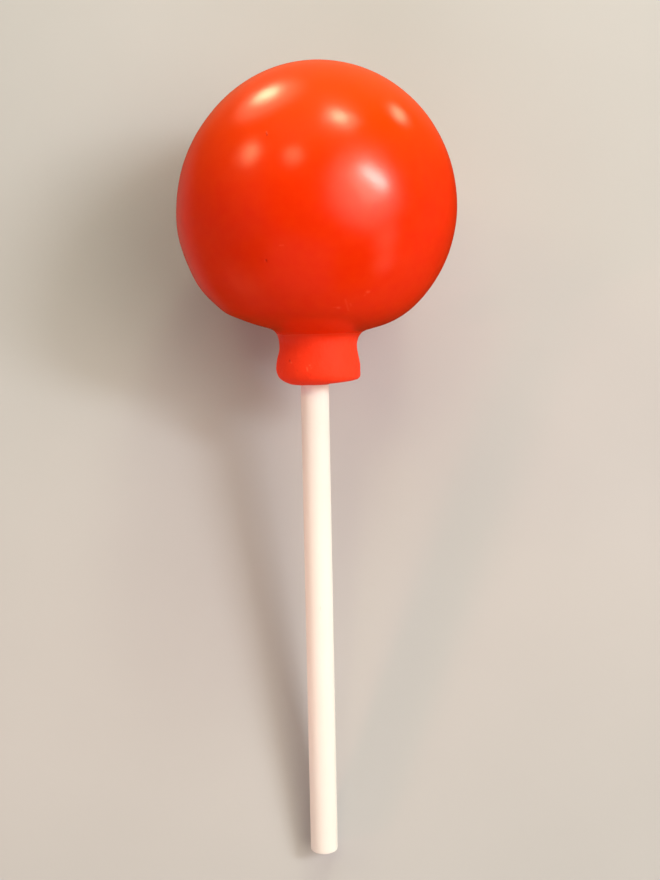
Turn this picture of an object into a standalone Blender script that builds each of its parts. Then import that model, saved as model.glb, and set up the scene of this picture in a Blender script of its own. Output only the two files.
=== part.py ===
"""A round cake pop in a smooth red coating, on a white paper stick.

The coating runs down over the stick as a short flared collar, like the neck of a balloon.
Each piece is made standing: +Z runs up the stick, the origin is level with the ball's centre,
and the shown side faces -Y. An empty then lays the pop on its back, so that it rests on a small
flat of the ball and on the end of the stick, with the origin under the middle of the whole.
"""

import math

import bmesh
import bpy
from mathutils import Vector

# The ball: a sphere that is drawn in a little towards the collar.
BALL_RADIUS = 0.0214
UNDERSIDE_DRAWN_IN = 0.0011
UNDERSIDE_FROM_DEG = 45
UNDERSIDE_TO_DEG = 20

# Soft swells and hollows of the hand-dipped coating. Each is an angle from straight down in
# degrees, a spread in degrees, a height, and the side that it is on: 1 at +X, -1 at -X.
SWELLS = (
    (76, 14, 0.0004, -1),
    (54, 12, 0.0006, -1),
    (41, 5, 0.0002, -1),
    (20, 5, -0.00015, -1),
    (137, 32, -0.0003, -1),
    (112, 30, -0.00017, 1),
    (29, 9, 0.0002, 1),
)
SWELL_SIDE_POWER = 3

# The collar: a neck, a flare below it, and a rim that is soft on one side and crisp on the other.
JOIN_FROM_DOWN_DEG = 21.4
FILLET_PULL = 0.0010
FILLET_DROP = 0.0011
NECK_RADIUS = 0.00603
NECK_BELOW_CENTRE = 0.0215
FLARE_RADIUS = 0.0066
FLARE_BELOW_CENTRE = 0.0247
RIM_BELOW_CENTRE = 0.0272
RIM_TILT_DEG = 5.5
CRISP_ROUND_IN, CRISP_ROUND_UP = 0.00065, 0.0007
SOFT_ROUND_IN, SOFT_ROUND_UP = 0.0039, 0.0028
SOFT_SHARE_POWER = 1.6

# The stick: rolled paper, pushed in to about the middle of the ball, a little off its axis.
STICK_RADIUS = 0.0022
STICK_LENGTH = 0.1016
STICK_IN_CAKE = 0.0250
STICK_EDGE_ROUND = 0.0003
SOCKET_GAP = 0.0003
CAKE_BESIDE_STICK = 0.0010
CAKE_LEAN_DEG = 0.96

# The flat on which the ball rests.
REST_SPOT_RADIUS = 0.0040

# How finely the round pieces are divided.
CAKE_SIDES = 60
BALL_STEPS = 34
FILLET_STEPS = 5
FLARE_STEPS = 5
RIM_STEPS = 5
STICK_SIDES = 32

UP = Vector((0, 0, 1))
QUARTER_TURN = math.pi / 2
FULL_TURN = 2 * math.pi


def clear_scene():
    for thing in list(bpy.data.objects):
        bpy.data.objects.remove(thing)


def material(name, colour, roughness):
    made = bpy.data.materials.new(name)
    made.use_nodes = True
    shader = made.node_tree.nodes["Principled BSDF"]
    shader.inputs["Base Color"].default_value = (*colour, 1)
    shader.inputs["Roughness"].default_value = roughness
    shader.inputs["Metallic"].default_value = 0
    return made


def ease(value):
    """Goes smoothly from 0 to 1 as the value does."""
    value = min(max(value, 0), 1)
    return value * value * (3 - 2 * value)


def around(azimuth, radius, height):
    return Vector((radius * math.cos(azimuth), radius * math.sin(azimuth), height))


def ball_point(azimuth, from_crown):
    """A point of the ball: its reach from the centre is the sphere's, drawn in and swollen."""
    from_down = 180 - math.degrees(from_crown)
    span = UNDERSIDE_FROM_DEG - UNDERSIDE_TO_DEG
    reach = BALL_RADIUS - UNDERSIDE_DRAWN_IN * ease((UNDERSIDE_FROM_DEG - from_down) / span)
    for angle, spread, height, side in SWELLS:
        away = (from_down - angle) / spread
        on_side = ((1 + side * math.cos(azimuth)) / 2) ** SWELL_SIDE_POWER
        off_pole = math.sin(from_crown) / math.sin(math.radians(angle))
        reach += height * math.exp(-away * away) * on_side * off_pole
    return around(azimuth, reach * math.sin(from_crown), reach * math.cos(from_crown))


def bezier(start, pull, drop, end, share):
    rest = 1 - share
    return (
        start * rest**3
        + pull * (3 * rest * rest * share)
        + drop * (3 * rest * share * share)
        + end * share**3
    )


def rim_plane(azimuth, radius):
    """The height of the rim's tilted plane, which is lower at -X."""
    slope = math.tan(math.radians(RIM_TILT_DEG))
    return -RIM_BELOW_CENTRE + slope * radius * math.cos(azimuth)


def half_outline(azimuth):
    """The coating's outline on one side, from beside the crown to the rim's inner edge."""
    join = math.pi - math.radians(JOIN_FROM_DOWN_DEG)
    points = [ball_point(azimuth, join * k / BALL_STEPS) for k in range(1, BALL_STEPS + 1)]

    start = points[-1]
    heading = (start - ball_point(azimuth, join - math.radians(1))).normalized()
    neck = around(azimuth, NECK_RADIUS, -NECK_BELOW_CENTRE)
    pull = start + heading * FILLET_PULL
    drop = neck + UP * FILLET_DROP
    for k in range(1, FILLET_STEPS + 1):
        points.append(bezier(start, pull, drop, neck, k / FILLET_STEPS))

    for k in range(1, FLARE_STEPS + 1):
        share = k / FLARE_STEPS
        radius = NECK_RADIUS + (FLARE_RADIUS - NECK_RADIUS) * ease(share)
        below = NECK_BELOW_CENTRE + (FLARE_BELOW_CENTRE - NECK_BELOW_CENTRE) * share
        points.append(around(azimuth, radius, -below))

    soft = ((1 - math.cos(azimuth)) / 2) ** SOFT_SHARE_POWER
    round_in = CRISP_ROUND_IN + (SOFT_ROUND_IN - CRISP_ROUND_IN) * soft
    round_up = CRISP_ROUND_UP + (SOFT_ROUND_UP - CRISP_ROUND_UP) * soft
    for k in range(RIM_STEPS + 1):
        turn = QUARTER_TURN * k / RIM_STEPS
        radius = FLARE_RADIUS - round_in * (1 - math.cos(turn))
        height = rim_plane(azimuth, radius) + round_up * (1 - math.sin(turn))
        points.append(around(azimuth, radius, height))
    return points


def skin_mesh(columns, crown=None):
    """A closed mesh over columns of points that run from the top to the bottom, side by side."""
    mesh = bmesh.new()
    rows = [[mesh.verts.new(point) for point in column] for column in columns]
    for k, column in enumerate(rows):
        beside = rows[(k + 1) % len(rows)]
        for upper in range(len(column) - 1):
            mesh.faces.new((column[upper], column[upper + 1], beside[upper + 1], beside[upper]))
    mesh.faces.new([column[-1] for column in rows])
    if crown is None:
        mesh.faces.new([column[0] for column in rows])
    else:
        top = mesh.verts.new(crown)
        for k, column in enumerate(rows):
            mesh.faces.new((top, column[0], rows[(k + 1) % len(rows)][0]))
    bmesh.ops.recalc_face_normals(mesh, faces=mesh.faces)
    return mesh


def put_in_scene(name, mesh, parent):
    data = bpy.data.meshes.new(name)
    mesh.to_mesh(data)
    mesh.free()
    made = bpy.data.objects.new(name, data)
    bpy.context.scene.collection.objects.link(made)
    made.parent = parent
    return made


def lying_angle():
    """How far the stick slopes down, from the ball's flat to the rim of the stick's end."""
    centre_height = math.sqrt(BALL_RADIUS**2 - REST_SPOT_RADIUS**2)
    end_below_centre = RIM_BELOW_CENTRE + STICK_LENGTH - STICK_IN_CAKE - STICK_EDGE_ROUND
    across = math.hypot(end_below_centre, STICK_RADIUS)
    angle = math.asin(centre_height / across) - math.atan2(STICK_RADIUS, end_below_centre)
    return angle, centre_height


def make_pop():
    """The empty that carries the pieces and lays them down."""
    pop = bpy.data.objects.new("pop", None)
    bpy.context.scene.collection.objects.link(pop)
    angle, centre_height = lying_angle()
    pop.rotation_euler.x = angle - QUARTER_TURN
    pop.location.z = centre_height
    return pop


def make_stick(pop):
    top = -RIM_BELOW_CENTRE + STICK_IN_CAKE
    end = top - STICK_LENGTH
    inner = STICK_RADIUS - STICK_EDGE_ROUND
    outline = (
        (inner, top),
        (STICK_RADIUS, top - STICK_EDGE_ROUND),
        (STICK_RADIUS, end + STICK_EDGE_ROUND),
        (inner, end),
    )
    # One edge of the many-sided stick faces the floor.
    azimuths = [QUARTER_TURN + FULL_TURN * k / STICK_SIDES for k in range(STICK_SIDES)]
    columns = [[around(azimuth, *place) for place in outline] for azimuth in azimuths]
    return put_in_scene("stick", skin_mesh(columns), pop)


def make_socket_cutter(pop):
    radius = STICK_RADIUS + SOCKET_GAP
    top = -RIM_BELOW_CENTRE + STICK_IN_CAKE + SOCKET_GAP
    bottom = -RIM_BELOW_CENTRE - FLARE_RADIUS
    azimuths = [QUARTER_TURN + FULL_TURN * k / STICK_SIDES for k in range(STICK_SIDES)]
    columns = [[around(azimuth, radius, top), around(azimuth, radius, bottom)] for azimuth in azimuths]
    cutter = put_in_scene("socket_cutter", skin_mesh(columns), pop)
    cutter.hide_render = True
    cutter.display_type = "WIRE"
    return cutter


def rest_on_floor(mesh, placed):
    """Cuts the flat spot: all that would be below the floor goes, and one flat face closes it."""
    floor = placed.inverted()
    cut = bmesh.ops.bisect_plane(
        mesh,
        geom=list(mesh.verts) + list(mesh.edges) + list(mesh.faces),
        plane_co=floor.translation,
        plane_no=floor.to_3x3() @ -UP,
        clear_outer=True,
    )
    edges = [piece for piece in cut["geom_cut"] if isinstance(piece, bmesh.types.BMEdge)]
    bmesh.ops.contextual_create(mesh, geom=edges)
    bmesh.ops.recalc_face_normals(mesh, faces=mesh.faces)


def make_coated_cake(pop):
    columns = [half_outline(FULL_TURN * k / CAKE_SIDES) for k in range(CAKE_SIDES)]
    mesh = skin_mesh(columns, crown=ball_point(0, 0))
    cake = put_in_scene("coated_cake", mesh, pop)
    cake.location.x = CAKE_BESIDE_STICK
    cake.rotation_euler.y = math.radians(CAKE_LEAN_DEG)
    bpy.context.view_layer.update()

    mesh = bmesh.new()
    mesh.from_mesh(cake.data)
    rest_on_floor(mesh, cake.matrix_world)
    mesh.to_mesh(cake.data)
    mesh.free()

    socket = cake.modifiers.new("socket", "BOOLEAN")
    socket.operation = "DIFFERENCE"
    socket.object = make_socket_cutter(pop)
    return cake


def centre_over_origin(pop, pieces):
    """Moves the pop level with the floor, so that the origin is under the middle of its box."""
    bpy.context.view_layer.update()
    corners = [piece.matrix_world @ point.co for piece in pieces for point in piece.data.vertices]
    for axis in (0, 1):
        places = [corner[axis] for corner in corners]
        pop.location[axis] = -(min(places) + max(places)) / 2


def finish(piece, look, crease_deg):
    piece.data.materials.append(look)
    piece.data.shade_smooth()
    piece.data.set_sharp_from_angle(angle=math.radians(crease_deg))


def main():
    clear_scene()
    pop = make_pop()
    cake = make_coated_cake(pop)
    stick = make_stick(pop)
    centre_over_origin(pop, (cake, stick))
    finish(cake, material("red_coating", (0.83, 0.035, 0.004), 0.38), crease_deg=50)
    finish(stick, material("white_paper", (0.86, 0.85, 0.80), 0.65), crease_deg=40)


main()
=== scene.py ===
"""The looks of a round red cake pop on a white paper stick, lying on its back on a pale floor.

The pop is modelled standing on its stick: +Z runs up the stick, the origin is level with the ball's
centre on the stick's axis, and the shown side faces -Y. Each finished piece is then laid down onto
its solid in the frame.
"""

import math

import bmesh
import bpy
from mathutils import Matrix, Vector, geometry


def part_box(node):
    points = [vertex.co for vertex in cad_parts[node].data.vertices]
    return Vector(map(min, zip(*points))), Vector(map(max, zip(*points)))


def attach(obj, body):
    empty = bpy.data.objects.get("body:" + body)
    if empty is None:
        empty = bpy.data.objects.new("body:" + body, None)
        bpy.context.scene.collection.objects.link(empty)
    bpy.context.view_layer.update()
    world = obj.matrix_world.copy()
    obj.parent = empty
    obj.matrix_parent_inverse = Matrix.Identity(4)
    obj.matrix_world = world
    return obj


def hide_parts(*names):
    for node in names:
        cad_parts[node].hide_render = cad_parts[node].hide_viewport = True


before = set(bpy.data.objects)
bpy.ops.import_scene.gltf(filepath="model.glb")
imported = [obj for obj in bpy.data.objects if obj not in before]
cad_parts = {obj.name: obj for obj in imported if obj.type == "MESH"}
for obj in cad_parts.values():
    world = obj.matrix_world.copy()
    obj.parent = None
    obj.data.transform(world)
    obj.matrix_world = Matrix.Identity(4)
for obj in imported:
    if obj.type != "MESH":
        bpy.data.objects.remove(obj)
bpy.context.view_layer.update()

MM = 0.001
FULL_TURN = 2 * math.pi
QUARTER_TURN = math.pi / 2
ACROSS = Vector((1, 0, 0))
UP = Vector((0, 0, 1))

# The coated ball, and the soft swells and hollows of its hand-dipped coating. Each swell is an
# angle from straight down in degrees, a spread in degrees, a height, and its side: 1 at +X, -1 at
# -X. What is nearer to the ball's centre than DEEP_INSIDE is the socket and not the skin.
BALL_RADIUS = 21.4 * MM
UNDERSIDE_DRAWN_IN = 1.1 * MM
UNDERSIDE_FROM_DEG = 45
UNDERSIDE_TO_DEG = 20
SWELLS = (
    (76, 14, 0.40 * MM, -1),
    (54, 12, 0.60 * MM, -1),
    (41, 5, 0.20 * MM, -1),
    (20, 5, -0.15 * MM, -1),
    (137, 32, -0.30 * MM, -1),
    (112, 30, -0.17 * MM, 1),
    (29, 9, 0.20 * MM, 1),
)
SWELL_SIDE_POWER = 3
DEEP_INSIDE = 0.9 * BALL_RADIUS
SKIN_FADE = 0.12 * BALL_RADIUS

# The collar round the stick: a neck, a flare, and a rim that is soft at -X and crisp at +X.
JOIN_FROM_DOWN_DEG = 21.4
FILLET_PULL = 1.0 * MM
FILLET_DROP = 1.1 * MM
NECK_RADIUS = 6.03 * MM
NECK_BELOW_CENTRE = 21.5 * MM
FLARE_RADIUS = 6.6 * MM
FLARE_BELOW_CENTRE = 24.7 * MM
RIM_BELOW_CENTRE = 27.2 * MM
RIM_TILT_DEG = 5.5
CRISP_ROUND_IN, CRISP_ROUND_UP = 0.65 * MM, 0.7 * MM
SOFT_ROUND_IN, SOFT_ROUND_UP = 3.9 * MM, 2.8 * MM

JOIN_BELOW_CENTRE = (
    (BALL_RADIUS - UNDERSIDE_DRAWN_IN) * math.cos(math.radians(JOIN_FROM_DOWN_DEG))
)
COLLAR_FADE = 1.5 * MM

# How finely the coating's cage is divided, before it is smoothed. The crown's rings become a grid.
CAGE_SIDES = 80
CAGE_RINGS = 48
CROWN_RINGS = 5
FILLET_STEPS = 5
FLARE_STEPS = 4
RIM_STEPS = 6
SMOOTHINGS = 2
SMOOTH_UNDER_DEG = 50

# The stick, and how the cake sits on it.
STICK_RADIUS = 2.2 * MM
STICK_LENGTH = 101.6 * MM
STICK_IN_CAKE = 25.0 * MM
STICK_EDGE_ROUND = 0.3 * MM
STICK_EDGE_STEPS = 4
STICK_SIDES = 96
PAPER_LAYER = 0.20 * MM
END_RING_WIDTH = 0.08 * MM
END_GROOVE = 0.05 * MM
SEAM_TURN = 0.10
SEAM_STEP = 0.035 * MM
SEAM_FADE_TURN = 0.12
CAKE_BESIDE_STICK = 1.0 * MM
CAKE_LEAN_DEG = 0.96

# The socket round the stick. Each ring of its lip stands out from the socket's wall by the first
# value, and is below the middle of the rim by the second.
SOCKET_GAP = 0.03 * MM
SOCKET_LIP = (
    (0.30 * MM, -0.05 * MM),
    (0.08 * MM, 0.03 * MM),
    (0.00 * MM, 0.12 * MM),
    (0.00 * MM, -0.10 * MM),
)

# The photograph's camera, as seen from the standing pop.
PHOTO_WIDTH, PHOTO_HEIGHT = 660, 880
FOCAL_PIXELS = 1173
SENSOR_MM = 36
CAMERA_AWAY = 180.0 * MM
CAMERA_TILT_DEG = 7.0
CAMERA_ROLL_DEG = 1.11
CAMERA_ACROSS = 2.22 * MM
CAMERA_BELOW = 35.95 * MM

# The darker ones are dents, and their darkness is painted shade.
# Small pits, crumbs and scratches of the coating, by where the photograph shows them: the pixels
# from which and to which each goes, its radius and height, and how much paler, or darker, it is.
# The mesh is made finer round each, out to MARK_REACH times its radius.
MARKS = (
    ((266.3, 132.6), (266.9, 135.0), 0.12 * MM, -0.05 * MM, -0.5),
    ((266.0, 260.2), (266.2, 261.4), 0.13 * MM, -0.08 * MM, -0.5),
    ((279.5, 245.4), (283.5, 245.2), 0.09 * MM, 0.01 * MM, 0.3),
    ((367.4, 291.8), (368.4, 291.9), 0.24 * MM, 0.03 * MM, 0.4),
    ((364.6, 295.3), (365.2, 295.3), 0.14 * MM, 0.02 * MM, 0.2),
    ((338.2, 307.7), (338.9, 307.9), 0.20 * MM, 0.03 * MM, 0.4),
    ((333.5, 307.2), (337.0, 307.5), 0.12 * MM, 0.01 * MM, 0.15),
    ((345.3, 299.5), (348.5, 310.5), 0.12 * MM, -0.01 * MM, 0.2),
    ((350.3, 303.6), (351.2, 306.0), 0.11 * MM, -0.01 * MM, 0.2),
    ((289.5, 360.6), (289.8, 361.0), 0.14 * MM, -0.08 * MM, -0.45),
    ((291.2, 362.6), (291.5, 362.8), 0.14 * MM, 0.03 * MM, 0.7),
    ((297.3, 370.6), (297.5, 370.9), 0.12 * MM, -0.02 * MM, -0.12),
    ((306.8, 368.0), (307.3, 370.6), 0.15 * MM, 0.03 * MM, 0.5),
    ((309.4, 365.4), (309.9, 365.4), 0.14 * MM, 0.03 * MM, 0.6),
    ((311.0, 368.0), (311.2, 368.6), 0.12 * MM, 0.02 * MM, 0.25),
    ((310.2, 374.8), (310.5, 375.1), 0.12 * MM, -0.02 * MM, -0.12),
    ((318.0, 357.0), (318.2, 357.6), 0.10 * MM, -0.02 * MM, -0.15),
)
MARK_REACH = 3.5
MARK_CUTS = 4

FLOOR_SIDE = 3.0

# The lamps whose highlights the photograph shows, each at its pixel, with the lamp's width and
# height, its brightness, its colour, and how far it is turned in degrees.
LAMP_AWAY = 0.6
WHITE_LIGHT = (0.95, 1.0, 0.97)
ROSY_LIGHT = (1.0, 0.78, 0.62)
WARM_LIGHT = (0.98, 1.0, 0.64)
MIRRORED_LAMPS = (
    ("key_lamp", (375, 177), (0.22, 0.07), 0.41, WHITE_LIGHT, 48),
    ("key_glow", (369, 181), (0.30, 0.24), 0.24, ROSY_LIGHT, 30),
    ("upper_lamp", (340, 116), (0.08, 0.06), 0.12, WARM_LIGHT, 0),
    ("upper_glow", (340, 117), (0.22, 0.16), 0.15, WARM_LIGHT, 0),
)

# Wide lamps that leave no highlight: the side that each stands on, its brightness and its colour.
FILL_AWAY = 1.0
FILL_SIDE = 0.9
FILLS = (
    ("crown_fill", Vector((-0.1, 1, 0.5)), 0.47, (1.0, 0.98, 0.74)),
    ("left_fill", Vector((-1, -0.1, 0.5)), 0.12, (1.0, 0.94, 0.94)),
    ("front_fill", Vector((-0.25, -1, 0.5)), 0.33, (1.0, 0.72, 0.74)),
)

# A narrow beam on the collar, and the place on the stick's axis at which it is aimed.
SPOT_WATTS = 4.4
SPOT_COLOUR = (1.0, 0.36, 0.27)
SPOT_WIDTH_DEG = 9
SPOT_SOFT_EDGE = 0.35
SPOT_RADIUS = 0.03
SPOT_SIDE = Vector((-1, -0.35, 0.40))
SPOT_BELOW_CENTRE = 62 * MM

# The room round the pop: its own brown, the soft glows that the coating mirrors, and the plain tone
# that the camera sees. A glow is the pixel that mirrors it, its width in degrees, and its colour.
ROOM_BROWN = (0.054, 0.033, 0.009, 1)
ROOM_GLOWS = (
    ((317, 66), 45, (0.62, 0.29, 0.16, 1)),
    ((366, 186), 37, (3.20, 2.75, 2.10, 1)),
    ((182, 225), 30, (0.34, 0.18, 0.15, 1)),
    ((247, 282), 18, (0.60, 0.25, 0.10, 1)),
    ((387, 238), 14, (1.70, 1.20, 0.80, 1)),
    ((386, 262), 10, (1.60, 1.10, 0.70, 1)),
    ((266, 98), 20, (4.20, 2.80, 1.70, 1)),
    ((266, 95), 8.5, (27.0, 24.0, 14.5, 1)),
    ((399, 115), 5.5, (22.0, 13.0, 8.0, 1)),
    ((250, 151), 9, (10.5, 8.6, 4.4, 1)),
    ((293, 154), 9, (5.5, 5.0, 2.7, 1)),
)
ROOM_AS_SEEN = (0.62, 0.60, 0.57, 1)

# The coating's colours, and where they change: heights above the ball's centre on the stick's axis.
RED = (0.77, 0.0220, 0.0001, 1)
DEEP_RED = (0.70, 0.0160, 0.0001, 1)
ORANGE_RED = (0.86, 0.0600, 0.0006, 1)
# The collar is painted lighter and more orange than the ball: painted light, where light falls on
# it.
COLLAR_PAINTED_LIGHT_RED = (0.95, 0.0400, 0.0030, 1)
PALE_SPECK = (0.95, 0.12, 0.05, 1)
# Painted shade: the dents are painted darker, in place of the shade inside them.
PAINTED_PIT_SHADE = (0.25, 0.0020, 0.0001, 1)
# Between these heights the coating is painted more orange towards the crown: painted light, where
# the light falls strongest.
PAINTED_CROWN_LIGHT_FROM, PAINTED_CROWN_LIGHT_TO = -3 * MM, 18 * MM
GRAINY_FROM = -13 * MM


def select_only(piece):
    bpy.ops.object.select_all(action="DESELECT")
    piece.select_set(True)
    bpy.context.view_layer.objects.active = piece


def just_added(name):
    piece = bpy.context.object
    piece.name = name
    piece.data.name = name
    return piece


def edit(piece):
    select_only(piece)
    bpy.ops.object.mode_set(mode="EDIT")


def leave_edit():
    bpy.ops.object.mode_set(mode="OBJECT")


def pick_faces(piece, wanted):
    """In edit mode, selects only the faces whose middle is wanted."""
    bpy.ops.mesh.select_mode(type="FACE")
    bpy.ops.mesh.select_all(action="DESELECT")
    mesh = bmesh.from_edit_mesh(piece.data)
    for face in mesh.faces:
        face.select_set(wanted(face.calc_center_median()))
    bmesh.update_edit_mesh(piece.data)


def pick_open_edge(piece):
    """In edit mode, selects only the edges that border one face."""
    bpy.ops.mesh.select_mode(type="EDGE")
    bpy.ops.mesh.select_all(action="DESELECT")
    mesh = bmesh.from_edit_mesh(piece.data)
    for edge in mesh.edges:
        edge.select_set(edge.is_boundary)
    bmesh.update_edit_mesh(piece.data)


def apply_place(piece):
    select_only(piece)
    bpy.ops.object.transform_apply(location=True, rotation=True, scale=True)


def apply_modifier(piece, kind, **settings):
    modifier = piece.modifiers.new(kind.lower(), kind)
    for name, value in settings.items():
        setattr(modifier, name, value)
    select_only(piece)
    bpy.ops.object.modifier_apply(modifier=modifier.name)


def apply_by_weight(piece, weights, kind, **settings):
    """Applies a modifier with one weight for each vertex."""
    group = piece.vertex_groups.new(name="weights")
    for index, weight in enumerate(weights):
        if weight > 0:
            group.add([index], weight, "REPLACE")
    apply_modifier(piece, kind, vertex_group="weights", **settings)
    piece.vertex_groups.clear()


def raise_by(piece, height):
    """Moves each vertex outwards by the height in metres that the function gives for its place."""
    heights = [height(corner.co) for corner in piece.data.vertices]
    for most in (max(heights), min(heights)):
        if most:
            shares = [value / most for value in heights]
            apply_by_weight(piece, shares, "DISPLACE", strength=most, mid_level=0)


def raise_by_clouds(piece, name, size, height, where):
    """Moves the surface in and out with soft noise of the given size, where the function says."""
    clouds = bpy.data.textures.new(name, "CLOUDS")
    clouds.noise_scale = size
    clouds.noise_depth = 1
    clouds.use_clamp = False
    shares = [where(corner.co) for corner in piece.data.vertices]
    apply_by_weight(piece, shares, "DISPLACE", texture=clouds, strength=2 * height, mid_level=0.5)


def ease(value):
    """Goes smoothly from 0 to 1 as the value does."""
    value = min(max(value, 0), 1)
    return value * value * (3 - 2 * value)


# The pop's place in the frame, and the camera

def lying_pop():
    """Where the standing pop goes in the frame, read from the two ends of the stick's solid."""
    places = [corner.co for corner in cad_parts["stick"].data.vertices]
    low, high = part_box("stick")
    middle = (low.y + high.y) / 2
    upper = [place for place in places if place.y > middle]
    lower = [place for place in places if place.y < middle]
    top = sum(upper, Vector()) / len(upper)
    end = sum(lower, Vector()) / len(lower)
    along = (top - end).normalized()
    origin = (top + end) / 2 + along * (STICK_LENGTH / 2 + RIM_BELOW_CENTRE - STICK_IN_CAKE)
    turned = Matrix((ACROSS, along.cross(ACROSS), along)).transposed()
    return Matrix.Translation(origin) @ turned.to_4x4()


POP = lying_pop()


def lay_down(piece):
    piece.matrix_world = POP
    apply_place(piece)


def standing_camera():
    """The camera's place, right, up and forward, as seen from the standing pop."""
    tilt = math.radians(CAMERA_TILT_DEG)
    roll = math.radians(CAMERA_ROLL_DEG)
    ahead = Vector((0, math.cos(tilt), -math.sin(tilt)))
    above = ACROSS.cross(ahead)
    place = ACROSS * CAMERA_ACROSS - above * CAMERA_BELOW - ahead * CAMERA_AWAY
    right = ACROSS * math.cos(roll) - above * math.sin(roll)
    up = ACROSS * math.sin(roll) + above * math.cos(roll)
    return place, right, up, ahead


def shown_at(piece, pixel):
    """The point of a standing piece that the photograph shows at a pixel."""
    place, right, up, ahead = standing_camera()
    beside = (pixel[0] - PHOTO_WIDTH / 2) / FOCAL_PIXELS
    below = (pixel[1] - PHOTO_HEIGHT / 2) / FOCAL_PIXELS
    hit, point = piece.ray_cast(place, ahead + right * beside - up * below)[:2]
    if not hit:
        raise ValueError(f"nothing of {piece.name} is shown at {pixel}")
    return point


def add_camera():
    place, right, up, ahead = standing_camera()
    data = bpy.data.cameras.new("photo_camera")
    data.sensor_width = SENSOR_MM
    data.lens = FOCAL_PIXELS * SENSOR_MM / PHOTO_HEIGHT
    data.clip_start = 1 * MM
    camera = bpy.data.objects.new("photo_camera", data)
    bpy.context.scene.collection.objects.link(camera)
    turned = Matrix((right, up, -ahead)).transposed()
    camera.matrix_world = POP @ Matrix.Translation(place) @ turned.to_4x4()
    bpy.context.scene.camera = camera


# The coated cake

def underside_ring(from_down_deg):
    """A radius, a shift to +X, a depth below the ball's centre, and a tilt that lowers -X."""
    span = UNDERSIDE_FROM_DEG - UNDERSIDE_TO_DEG
    reach = BALL_RADIUS - UNDERSIDE_DRAWN_IN * ease((UNDERSIDE_FROM_DEG - from_down_deg) / span)
    angle = math.radians(from_down_deg)
    return reach * math.sin(angle), 0, reach * math.cos(angle), 0


def fillet_rings(steps):
    """The soft hollow between the ball and the neck."""
    start = Vector(underside_ring(JOIN_FROM_DOWN_DEG)[0::2])
    before = Vector(underside_ring(JOIN_FROM_DOWN_DEG + 1)[0::2])
    neck = Vector((NECK_RADIUS, NECK_BELOW_CENTRE))
    pull = start + (start - before).normalized() * FILLET_PULL
    drop = neck - Vector((0, FILLET_DROP))
    points = geometry.interpolate_bezier(start, pull, drop, neck, steps + 1)
    return [(point[0], 0, point[1], 0) for point in points[1:]]


def flare_rings(steps):
    """The neck widens smoothly to the flare."""
    rings = []
    for k in range(1, steps + 1):
        share = k / steps
        radius = NECK_RADIUS + (FLARE_RADIUS - NECK_RADIUS) * ease(share)
        depth = NECK_BELOW_CENTRE + (FLARE_BELOW_CENTRE - NECK_BELOW_CENTRE) * share
        rings.append((radius, 0, depth, 0))
    return rings


def rim_rings(steps):
    """The rim turns in: quickly at +X, and in a long soft round at -X."""
    slope = math.tan(math.radians(RIM_TILT_DEG))
    rings = []
    for k in range(steps + 1):
        turn = QUARTER_TURN * k / steps
        drawn, raised = 1 - math.cos(turn), 1 - math.sin(turn)
        crisp = FLARE_RADIUS - CRISP_ROUND_IN * drawn
        soft = FLARE_RADIUS - SOFT_ROUND_IN * drawn
        crisp_depth = RIM_BELOW_CENTRE - slope * crisp - CRISP_ROUND_UP * raised
        soft_depth = RIM_BELOW_CENTRE + slope * soft - SOFT_ROUND_UP * raised
        tilt = math.atan2(soft_depth - crisp_depth, crisp + soft)
        depth = (crisp_depth + soft_depth) / 2
        rings.append(((crisp + soft) / 2, (crisp - soft) / 2, depth, tilt))
    return rings


def stick_ring(radius, below_centre):
    """A ring round the stick, which is beside the middle of the leaning cake."""
    lean = math.radians(CAKE_LEAN_DEG)
    shift = -CAKE_BESIDE_STICK * math.cos(lean) + below_centre * math.sin(lean)
    depth = CAKE_BESIDE_STICK * math.sin(lean) + below_centre * math.cos(lean)
    return radius, shift, depth, lean


def draw_ring(old, new):
    """Extrudes the open edge, and brings the new ring to its size, place and tilt."""
    radius, shift, depth, tilt = old
    new_radius, new_shift, new_depth, new_tilt = new
    bpy.ops.mesh.extrude_edges_move()
    middle = Vector((shift, 0, -depth))
    bpy.ops.transform.rotate(value=new_tilt - tilt, orient_axis="Y", center_override=middle)
    scale = new_radius / radius
    bpy.ops.transform.resize(value=(scale, scale, scale), center_override=middle)
    bpy.ops.transform.translate(value=(new_shift - shift, 0, depth - new_depth))


ONTO_BALL = {"cast_type": "SPHERE", "factor": 1, "use_radius_as_size": False, "size": BALL_RADIUS}


def ball_cage():
    """A coarse ball, open below, whose crown is a grid of squares, not a fan of thin triangles."""
    bpy.ops.object.select_all(action="DESELECT")
    bpy.ops.mesh.primitive_uv_sphere_add(
        segments=CAGE_SIDES, ring_count=CAGE_RINGS, radius=BALL_RADIUS
    )
    piece = just_added("coating")
    edit(piece)
    crown = BALL_RADIUS * math.cos(CROWN_RINGS * math.pi / CAGE_RINGS)
    pick_faces(piece, lambda place: place.z > crown)
    bpy.ops.mesh.delete(type="FACE")
    pick_open_edge(piece)
    bpy.ops.mesh.fill_grid(span=CAGE_SIDES // 4)
    leave_edit()
    apply_modifier(piece, "CAST", **ONTO_BALL)

    edit(piece)
    lowest = -BALL_RADIUS * math.cos(math.radians(UNDERSIDE_FROM_DEG))
    pick_faces(piece, lambda place: place.z < lowest)
    bpy.ops.mesh.delete(type="FACE")
    leave_edit()
    return piece


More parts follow.
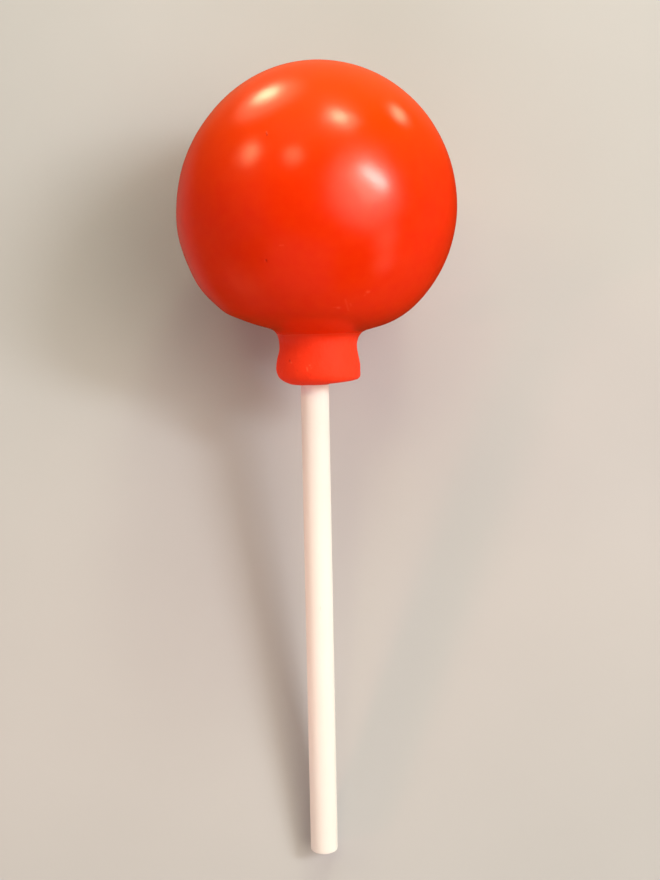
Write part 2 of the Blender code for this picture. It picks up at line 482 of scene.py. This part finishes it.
def collar_rings():
    """All rings below the open ball: the underside, the collar, and the stick's socket."""
    ring_deg = 180 / CAGE_RINGS
    count = int((UNDERSIDE_FROM_DEG - JOIN_FROM_DOWN_DEG) / ring_deg)
    rings = [underside_ring(UNDERSIDE_FROM_DEG - ring_deg * k) for k in range(1, count)]
    rings.append(underside_ring(JOIN_FROM_DOWN_DEG))
    rings += fillet_rings(FILLET_STEPS)
    rings += flare_rings(FLARE_STEPS)
    rings += rim_rings(RIM_STEPS)
    lip = RIM_BELOW_CENTRE + CAKE_BESIDE_STICK * math.tan(math.radians(RIM_TILT_DEG))
    snug = STICK_RADIUS + SOCKET_GAP
    socket_end = RIM_BELOW_CENTRE - STICK_IN_CAKE - SOCKET_GAP
    rings += [stick_ring(snug + out, lip + below) for out, below in SOCKET_LIP]
    rings.append(stick_ring(snug, socket_end + SOCKET_GAP))
    rings.append(stick_ring(snug, socket_end))
    return rings


def swell_height(place):
    """How far the hand-dipped coating stands out from the round ball."""
    azimuth = math.atan2(place.y, place.x)
    from_crown = place.angle(UP)
    from_down = 180 - math.degrees(from_crown)
    height = 0
    for angle, spread, most, side in SWELLS:
        away = (from_down - angle) / spread
        on_side = ((1 + side * math.cos(azimuth)) / 2) ** SWELL_SIDE_POWER
        off_pole = math.sin(from_crown) / math.sin(math.radians(angle))
        height += most * math.exp(-away * away) * on_side * off_pole
    on_skin = place.xy.length > 1.5 * STICK_RADIUS or place.z > DEEP_INSIDE
    return height if on_skin else 0


def on_ball(place):
    """1 on the round ball's skin, 0 on the drawn-in underside, the collar and the socket."""
    if place.length < DEEP_INSIDE:
        return 0
    lowest = BALL_RADIUS * math.cos(math.radians(UNDERSIDE_FROM_DEG))
    return ease((place.z + lowest) / SKIN_FADE)


def on_collar(place):
    """1 on the collar's skin, 0 on the ball and inside the socket."""
    outside = place.xy.length > STICK_RADIUS + 1.5 * CAKE_BESIDE_STICK
    return ease((-JOIN_BELOW_CENTRE - place.z) / COLLAR_FADE) if outside else 0


def from_line(place, start, end):
    """How far a place is from a short line."""
    share = geometry.intersect_point_line(place, start, end)[1]
    return (place - start.lerp(end, min(max(share, 0), 1))).length


def add_marks(piece):
    """Pits, crumbs and faint scratches, as small dents and bumps that are also paler, or darker
    with painted shade.
    """
    marks = []
    for start, end, radius, height, tint in MARKS:
        marks.append((shown_at(piece, start), shown_at(piece, end), radius, height, tint))

    def near_a_mark(place):
        return any(from_line(place, mark[0], mark[1]) < MARK_REACH * mark[2] for mark in marks)

    edit(piece)
    pick_faces(piece, near_a_mark)
    bpy.ops.mesh.subdivide(number_cuts=MARK_CUTS, quadcorner="INNERVERT")
    leave_edit()

    def mark_shares(place):
        for start, end, radius, height, tint in marks:
            away = from_line(place, start, end) / radius
            yield math.exp(-away * away), height, tint

    # Each mark's tint: paler for crumbs and scratches, and darker, painted shade, in the dents.
    def mark_tint_and_dent_shade(place):
        return sum(share * tint for share, height, tint in mark_shares(place))

    def mark_height(place):
        return sum(share * height for share, height, tint in mark_shares(place))

    tints = piece.data.attributes.new("mark_tint_and_dent_shade", "FLOAT", "POINT")
    for corner in piece.data.vertices:
        tints.data[corner.index].value = mark_tint_and_dent_shade(corner.co)
    raise_by(piece, mark_height)


def model_coating():
    """The dipped ball and its collar, drawn down ring by ring, smoothed, and made uneven."""
    piece = ball_cage()
    edit(piece)
    pick_open_edge(piece)
    old = underside_ring(UNDERSIDE_FROM_DEG)
    for new in collar_rings():
        draw_ring(old, new)
        old = new
    bpy.ops.mesh.edge_face_add()
    bpy.ops.mesh.select_all(action="SELECT")
    bpy.ops.mesh.normals_make_consistent(inside=False)
    leave_edit()
    apply_modifier(piece, "SUBSURF", levels=SMOOTHINGS, render_levels=SMOOTHINGS)
    on_balls = [on_ball(corner.co) for corner in piece.data.vertices]
    apply_by_weight(piece, on_balls, "CAST", **ONTO_BALL)

    raise_by(piece, swell_height)
    raise_by_clouds(piece, "hand_dipped_waves", size=9 * MM, height=0.05 * MM, where=on_ball)
    raise_by_clouds(piece, "ripples", size=2.2 * MM, height=0.008 * MM, where=on_ball)
    raise_by_clouds(piece, "collar_lumps", size=1.6 * MM, height=0.05 * MM, where=on_collar)
    raise_by_clouds(piece, "collar_crumb", size=0.45 * MM, height=0.02 * MM, where=on_collar)

    piece.location.x = CAKE_BESIDE_STICK
    piece.rotation_euler.y = math.radians(CAKE_LEAN_DEG)
    apply_place(piece)
    add_marks(piece)
    return piece


# The stick

def model_stick():
    """A stick of rolled paper with softened ends. The roll shows at its free end and as a seam."""
    top = STICK_IN_CAKE - RIM_BELOW_CENTRE
    bpy.ops.object.select_all(action="DESELECT")
    bpy.ops.mesh.primitive_cylinder_add(
        vertices=STICK_SIDES,
        radius=STICK_RADIUS,
        depth=STICK_LENGTH,
        location=(0, 0, top - STICK_LENGTH / 2),
    )
    piece = just_added("stick_paper")
    apply_place(piece)
    edit(piece)
    pick_faces(piece, lambda place: place.xy.length < STICK_RADIUS / 2)
    bpy.ops.mesh.bevel(offset=STICK_EDGE_ROUND, segments=STICK_EDGE_STEPS, affect="EDGES")

    above_free_end = top - STICK_LENGTH + STICK_EDGE_ROUND / 10
    pick_faces(piece, lambda place: place.z < above_free_end)
    rings = int((STICK_RADIUS - STICK_EDGE_ROUND) / END_RING_WIDTH) - 1
    for k in range(rings):
        bpy.ops.mesh.inset(thickness=END_RING_WIDTH)
    leave_edit()

    def roll_height(place):
        """The seam along the stick, and the spiral of paper layers on its free end."""
        turn = math.atan2(place.y, place.x) / FULL_TURN
        if place.z < above_free_end:
            layer = place.xy.length / PAPER_LAYER + turn
            return -END_GROOVE * (1 - abs(2 * (layer % 1) - 1)) ** 2
        from_seam = (turn - SEAM_TURN) % 1
        return SEAM_STEP * math.exp(-from_seam / SEAM_FADE_TURN)

    raise_by(piece, roll_height)
    return piece


# Materials

def new_group(name, inputs, outputs):
    """A shader node group; each input is a name, a socket kind and a usual value."""
    tree = bpy.data.node_groups.new(name, "ShaderNodeTree")
    for socket_name, kind, usual in inputs:
        socket = tree.interface.new_socket(name=socket_name, in_out="INPUT", socket_type=kind)
        if usual is not None:
            socket.default_value = usual
    for socket_name, kind in outputs:
        tree.interface.new_socket(name=socket_name, in_out="OUTPUT", socket_type=kind)
    return tree, tree.nodes.new("NodeGroupInput"), tree.nodes.new("NodeGroupOutput")


def add_node(tree, kind, values=None, **settings):
    """Adds a node; values go to its sockets, either as plain values or as links."""
    node = tree.nodes.new(kind)
    for name, value in settings.items():
        setattr(node, name, value)
    for socket, value in (values or {}).items():
        if isinstance(value, bpy.types.NodeSocket):
            tree.links.new(value, node.inputs[socket])
        else:
            node.inputs[socket].default_value = value
    return node


def math_node(tree, operation, first, second=0.0, third=0.0, clamp=False):
    values = {0: first, 1: second, 2: third}
    node = add_node(tree, "ShaderNodeMath", values, operation=operation, use_clamp=clamp)
    return node.outputs[0]


def smooth_share(tree, value, low, high):
    """Goes smoothly from 0 to 1 as the value goes from low to high."""
    values = {"Value": value, "From Min": low, "From Max": high}
    node = add_node(tree, "ShaderNodeMapRange", values, interpolation_type="SMOOTHSTEP")
    return node.outputs[0]


def mix_colours(tree, share, first, second):
    """The first colour where the share is 0, and the second where it is 1."""
    node = add_node(tree, "ShaderNodeMix", data_type="RGBA")
    sockets = {"Factor_Float": share, "A_Color": first, "B_Color": second}
    for socket in node.inputs:
        value = sockets.get(socket.identifier)
        if isinstance(value, bpy.types.NodeSocket):
            tree.links.new(value, socket)
        elif value is not None:
            socket.default_value = value
    return next(socket for socket in node.outputs if socket.identifier == "Result_Color")


def mix_some(tree, mask, strength, first, second):
    """Mixes in the second colour where the mask shows, no stronger than the strength."""
    return mix_colours(tree, math_node(tree, "MULTIPLY", mask, strength), first, second)


def scaled_place(tree, group_in):
    """The pattern's place, stretched, with one unit for each size."""
    stretched = add_node(
        tree,
        "ShaderNodeVectorMath",
        {0: group_in.outputs["Place"], 1: group_in.outputs["Stretch"]},
        operation="DIVIDE",
    )
    frequency = math_node(tree, "DIVIDE", 1.0, group_in.outputs["Size"])
    values = {0: stretched.outputs[0], "Scale": frequency}
    return add_node(tree, "ShaderNodeVectorMath", values, operation="SCALE").outputs[0]


def build_cloud_group():
    """Soft noise: a mask from 0 to 1 whose blotches have the given size in metres."""
    inputs = (
        ("Place", "NodeSocketVector", None),
        ("Stretch", "NodeSocketVector", (1, 1, 1)),
        ("Size", "NodeSocketFloat", 1 * MM),
        ("Detail", "NodeSocketFloat", 2.0),
        ("Contrast", "NodeSocketFloat", 1.5),
    )
    tree, group_in, group_out = new_group("soft_clouds", inputs, [("Mask", "NodeSocketFloat")])
    values = {
        "Vector": scaled_place(tree, group_in),
        "Detail": group_in.outputs["Detail"],
        "Scale": 1.0,
    }
    noise = add_node(tree, "ShaderNodeTexNoise", values)
    centred = math_node(tree, "SUBTRACT", noise.outputs[0], 0.5)
    spread = math_node(tree, "MULTIPLY", centred, group_in.outputs["Contrast"])
    mask = math_node(tree, "ADD", spread, 0.5, clamp=True)
    tree.links.new(mask, group_out.inputs["Mask"])
    return tree


def build_speck_group():
    """Sparse round specks: a mask that is 1 in the middle of each speck."""
    inputs = (
        ("Place", "NodeSocketVector", None),
        ("Stretch", "NodeSocketVector", (1, 1, 1)),
        ("Size", "NodeSocketFloat", 1 * MM),
        ("Radius", "NodeSocketFloat", 0.2),
        ("Share", "NodeSocketFloat", 0.2),
    )
    tree, group_in, group_out = new_group("sparse_specks", inputs, [("Mask", "NodeSocketFloat")])
    values = {"Vector": scaled_place(tree, group_in), "Scale": 1.0}
    cells = add_node(tree, "ShaderNodeTexVoronoi", values)
    chance = add_node(tree, "ShaderNodeSeparateColor", {0: cells.outputs["Color"]})
    chosen = math_node(tree, "LESS_THAN", chance.outputs[0], group_in.outputs["Share"])
    away = math_node(tree, "DIVIDE", cells.outputs["Distance"], group_in.outputs["Radius"])
    inside = math_node(tree, "SUBTRACT", 1.0, away, clamp=True)
    mask = math_node(tree, "MULTIPLY", inside, chosen)
    tree.links.new(mask, group_out.inputs["Mask"])
    return tree


CLOUDS = build_cloud_group()
SPECKS = build_speck_group()


def masked_by(tree, group, place, **values):
    """The mask that a node group gives for a place, with these values on its sockets."""
    node = add_node(tree, "ShaderNodeGroup", node_tree=group)
    tree.links.new(place, node.inputs["Place"])
    for name, value in values.items():
        node.inputs[name].default_value = value
    return node.outputs["Mask"]


def new_material(name):
    """A material, its shader, and a pattern's place in the standing pop."""
    material = bpy.data.materials.new(name)
    material.use_nodes = True
    tree = material.node_tree
    coordinates = add_node(tree, "ShaderNodeTexCoord")
    values = {
        "Vector": coordinates.outputs["Object"],
        "Location": POP.translation,
        "Rotation": POP.to_euler(),
    }
    place = add_node(tree, "ShaderNodeMapping", values, vector_type="TEXTURE")
    return material, tree, tree.nodes["Principled BSDF"], place.outputs[0]


def set_values(shader, values):
    for name, value in values.items():
        shader.inputs[name].default_value = value


def sum_of_heights(tree, parts):
    """Adds masks, each times its height in metres."""
    total = None
    for mask, height in parts:
        part = math_node(tree, "MULTIPLY", mask, height)
        total = part if total is None else math_node(tree, "ADD", total, part)
    return total


def add_bump(tree, shader, height):
    bump = add_node(tree, "ShaderNodeBump", {"Height": height, "Distance": 1.0, "Strength": 1.0})
    tree.links.new(bump.outputs[0], shader.inputs["Normal"])


def coating_material():
    """Red candy coating with a satin skin: cloudy colour, faint smears, fine grain and crumbs.
    Painted light makes the crown and collar lighter, and painted shade darkens the dents.
    """
    material, tree, shader, place = new_material("red_candy_coating")
    height_on_pop = add_node(tree, "ShaderNodeSeparateXYZ", {0: place}).outputs["Z"]
    painted_light_toward_crown = smooth_share(tree, height_on_pop, PAINTED_CROWN_LIGHT_FROM, PAINTED_CROWN_LIGHT_TO)
    on_collar_skin = smooth_share(tree, height_on_pop, -JOIN_BELOW_CENTRE, -NECK_BELOW_CENTRE)
    near_collar = smooth_share(tree, height_on_pop, GRAINY_FROM, -JOIN_BELOW_CENTRE)

    wide = masked_by(tree, CLOUDS, place, Size=9 * MM, Detail=2.0, Contrast=1.6)
    narrow = masked_by(tree, CLOUDS, place, Size=1.6 * MM, Detail=3.0, Contrast=1.4)
    across = (3, 1, 1)
    smears = masked_by(tree, CLOUDS, place, Size=4 * MM, Stretch=across, Detail=3.0, Contrast=2.0)
    grain = masked_by(tree, CLOUDS, place, Size=0.25 * MM, Detail=3.0, Contrast=1.0)
    peel = masked_by(tree, CLOUDS, place, Size=0.7 * MM, Detail=2.0, Contrast=1.0)
    crumb = masked_by(tree, CLOUDS, place, Size=0.35 * MM, Detail=4.0, Contrast=1.6)
    specks = masked_by(tree, SPECKS, place, Size=3.2 * MM, Radius=0.04, Share=0.08)
    tint = add_node(tree, "ShaderNodeAttribute", attribute_name="mark_tint_and_dent_shade").outputs["Fac"]

    clouded = mix_some(tree, wide, 0.55, RED, DEEP_RED)
    clouded = mix_some(tree, narrow, 0.25, clouded, ORANGE_RED)
    # Painted light: the coating is painted more orange towards the crown, where the light falls
    # strongest.
    crown_painted_lighter = mix_some(tree, painted_light_toward_crown, 0.85, clouded, ORANGE_RED)
    # Painted light: the collar's skin is painted lighter and more orange.
    collar_painted_lighter = mix_some(tree, on_collar_skin, 0.7, crown_painted_lighter, COLLAR_PAINTED_LIGHT_RED)
    specked = mix_some(tree, specks, 0.5, collar_painted_lighter, PALE_SPECK)
    paler = mix_colours(tree, math_node(tree, "MAXIMUM", tint), specked, PALE_SPECK)
    # Painted shade: the dents are painted darker.
    painted_dent_shade = math_node(tree, "MULTIPLY", math_node(tree, "MINIMUM", tint), -1.0, clamp=True)
    tree.links.new(mix_colours(tree, painted_dent_shade, paler, PAINTED_PIT_SHADE), shader.inputs["Base Color"])

    on_ball_roughness = math_node(tree, "MULTIPLY_ADD", smears, 0.06, 0.20)
    collar_dulling = math_node(tree, "MULTIPLY", on_collar_skin, 0.52)
    roughness = math_node(tree, "ADD", on_ball_roughness, collar_dulling)
    tree.links.new(roughness, shader.inputs["Roughness"])

    collar_crumb = math_node(tree, "MULTIPLY", crumb, on_collar_skin)
    parts = (
        (grain, 0.002 * MM),
        (math_node(tree, "MULTIPLY", grain, near_collar), 0.008 * MM),
        (peel, 0.006 * MM),
        (specks, 0.02 * MM),
        (collar_crumb, 0.035 * MM),
    )
    add_bump(tree, shader, sum_of_heights(tree, parts))
    set_values(shader, {
        "IOR": 1.45,
        "Subsurface Weight": 0.08,
        "Subsurface Scale": 1.0 * MM,
        "Subsurface Radius": (1.0, 0.15, 0.05),
    })
    return material


def paper_material():
    """Matt white rolled paper: long fibres, a cloudy tone and a few darker fibre specks."""
    material, tree, shader, place = new_material("white_rolled_paper")
    white = (0.82, 0.83, 0.86, 1)
    cream = (0.775, 0.77, 0.755, 1)
    fibre_grey = (0.60, 0.57, 0.48, 1)
    long, longer, thin = (1, 1, 3), (1, 1, 4), (1, 1, 14)
    fibres = masked_by(tree, CLOUDS, place, Size=0.12 * MM, Stretch=thin, Detail=3.0, Contrast=1.6)
    tone = masked_by(tree, CLOUDS, place, Size=2.5 * MM, Stretch=long, Detail=3.0, Contrast=1.8)
    flecks = masked_by(tree, SPECKS, place, Size=1.3 * MM, Stretch=longer, Radius=0.09, Share=0.22)
    toned = mix_some(tree, tone, 0.35, white, cream)
    toned = mix_some(tree, fibres, 0.22, toned, cream)
    flecked = mix_some(tree, flecks, 0.35, toned, fibre_grey)
    tree.links.new(flecked, shader.inputs["Base Color"])
    roughness = math_node(tree, "MULTIPLY_ADD", fibres, 0.12, 0.58)
    tree.links.new(roughness, shader.inputs["Roughness"])
    add_bump(tree, shader, sum_of_heights(tree, ((fibres, 0.006 * MM), (tone, 0.01 * MM))))
    set_values(shader, {"IOR": 1.45, "Sheen Weight": 0.1, "Sheen Roughness": 0.5})
    return material


def floor_material():
    """Plain pale tabletop with a barely clouded tone."""
    material, tree, shader, place = new_material("pale_tabletop")
    light = (0.46, 0.475, 0.525, 1)
    shade = (0.43, 0.445, 0.49, 1)
    clouded = masked_by(tree, CLOUDS, place, Size=40 * MM, Detail=4.0, Contrast=1.6)
    tree.links.new(mix_colours(tree, clouded, light, shade), shader.inputs["Base Color"])
    grain = masked_by(tree, CLOUDS, place, Size=0.8 * MM, Detail=3.0, Contrast=1.0)
    add_bump(tree, shader, sum_of_heights(tree, ((grain, 0.01 * MM),)))
    set_values(shader, {"Roughness": 0.8})
    return material


# The floor and the light

def add_floor():
    bpy.ops.object.select_all(action="DESELECT")
    bpy.ops.mesh.primitive_plane_add(size=FLOOR_SIDE)
    floor = just_added("tabletop")
    floor.data.materials.append(floor_material())
    floor.visible_glossy = False


def add_lamp(name, aim, direction, distance, size, brightness, colour):
    """A soft lamp of a width and a height. A white surface that faces it gets its brightness."""
    data = bpy.data.lights.new(name, "AREA")
    data.shape = "RECTANGLE"
    data.size, data.size_y = size
    data.energy = brightness * (math.pi * distance) ** 2
    data.color = colour
    lamp = bpy.data.objects.new(name, data)
    bpy.context.scene.collection.objects.link(lamp)
    lamp.location = aim + direction * distance
    lamp.rotation_euler = direction.to_track_quat("Z", "Y").to_euler()
    return lamp


def add_fill(name, direction, brightness, colour):
    """A wide lamp that lights a side and leaves no highlight of its own."""
    aim, size = POP.translation, (FILL_SIDE, FILL_SIDE)
    lamp = add_lamp(name, aim, direction.normalized(), FILL_AWAY, size, brightness, colour)
    lamp.visible_glossy = False


def mirrored(piece, pixel):
    """The point that the camera sees at a pixel, and the direction that it mirrors there."""
    point = shown_at(piece, pixel)
    normal = (point - Vector((CAKE_BESIDE_STICK, 0, 0))).normalized()
    to_camera = (standing_camera()[0] - point).normalized()
    direction = 2 * normal.dot(to_camera) * normal - to_camera
    return POP @ point, POP.to_3x3() @ direction


def add_mirrored_lamp(piece, name, pixel, size, brightness, colour, turn_deg):
    """A lamp whose highlight the photograph shows at a pixel."""
    point, direction = mirrored(piece, pixel)
    lamp = add_lamp(name, point, direction, LAMP_AWAY, size, brightness, colour)
    lamp.rotation_euler.rotate_axis("Z", math.radians(turn_deg))


def add_collar_spot():
    """A narrow warm beam from the left, aimed at the collar and the top of the stick."""
    data = bpy.data.lights.new("collar_spot", "SPOT")
    data.energy = SPOT_WATTS
    data.color = SPOT_COLOUR
    data.spot_size = math.radians(SPOT_WIDTH_DEG)
    data.spot_blend = SPOT_SOFT_EDGE
    data.shadow_soft_size = SPOT_RADIUS
    lamp = bpy.data.objects.new("collar_spot", data)
    bpy.context.scene.collection.objects.link(lamp)
    aim = POP @ Vector((0, 0, -SPOT_BELOW_CENTRE))
    direction = SPOT_SIDE.normalized()
    lamp.location = aim + direction * LAMP_AWAY
    lamp.rotation_euler = direction.to_track_quat("Z", "Y").to_euler()
    lamp.visible_glossy = False


def add_world(piece):
    """A dim brown room, with the soft glows that the coating mirrors."""
    world = bpy.data.worlds.new("soft_room")
    world.use_nodes = True
    tree = world.node_tree
    outward = add_node(tree, "ShaderNodeTexCoord").outputs["Generated"]
    colour = ROOM_BROWN
    for pixel, width_deg, glow in ROOM_GLOWS:
        values = {0: outward, 1: mirrored(piece, pixel)[1]}
        toward = add_node(tree, "ShaderNodeVectorMath", values, operation="DOT_PRODUCT")
        edge = math.cos(math.radians(width_deg))
        share = smooth_share(tree, toward.outputs["Value"], edge, 1.0)
        colour = mix_colours(tree, share, colour, glow)
    seen = add_node(tree, "ShaderNodeLightPath").outputs["Is Camera Ray"]
    colour = mix_colours(tree, seen, colour, ROOM_AS_SEEN)
    tree.links.new(colour, tree.nodes["Background"].inputs["Color"])
    bpy.context.scene.world = world


def add_light(piece):
    """Soft studio light. The places follow the highlights on the ball."""
    for lamp in MIRRORED_LAMPS:
        add_mirrored_lamp(piece, *lamp)
    for fill in FILLS:
        add_fill(*fill)
    add_collar_spot()
    add_world(piece)


def finish_piece(piece, material, node):
    """Lays a piece down in the frame, gives it its material, hides the CAD node that it replaces,
    and hangs it on the root body.
    """
    lay_down(piece)
    piece.data.materials.append(material)
    select_only(piece)
    bpy.ops.object.shade_smooth_by_angle(angle=math.radians(SMOOTH_UNDER_DEG))
    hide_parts(node)
    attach(piece, "root")


def rest_on_floor(piece):
    """Cuts the small flat on which the ball rests."""
    edit(piece)
    bpy.ops.mesh.select_all(action="SELECT")
    bpy.ops.mesh.bisect(plane_co=(0, 0, 0), plane_no=UP, clear_inner=True, use_fill=True)
    leave_edit()


def main():
    coating = model_coating()
    stick = model_stick()
    add_light(coating)
    add_camera()
    add_floor()
    finish_piece(coating, coating_material(), "coated_cake")
    rest_on_floor(coating)
    finish_piece(stick, paper_material(), "stick")
    stick.visible_glossy = False
    bpy.context.scene.view_settings.view_transform = "Standard"


main()
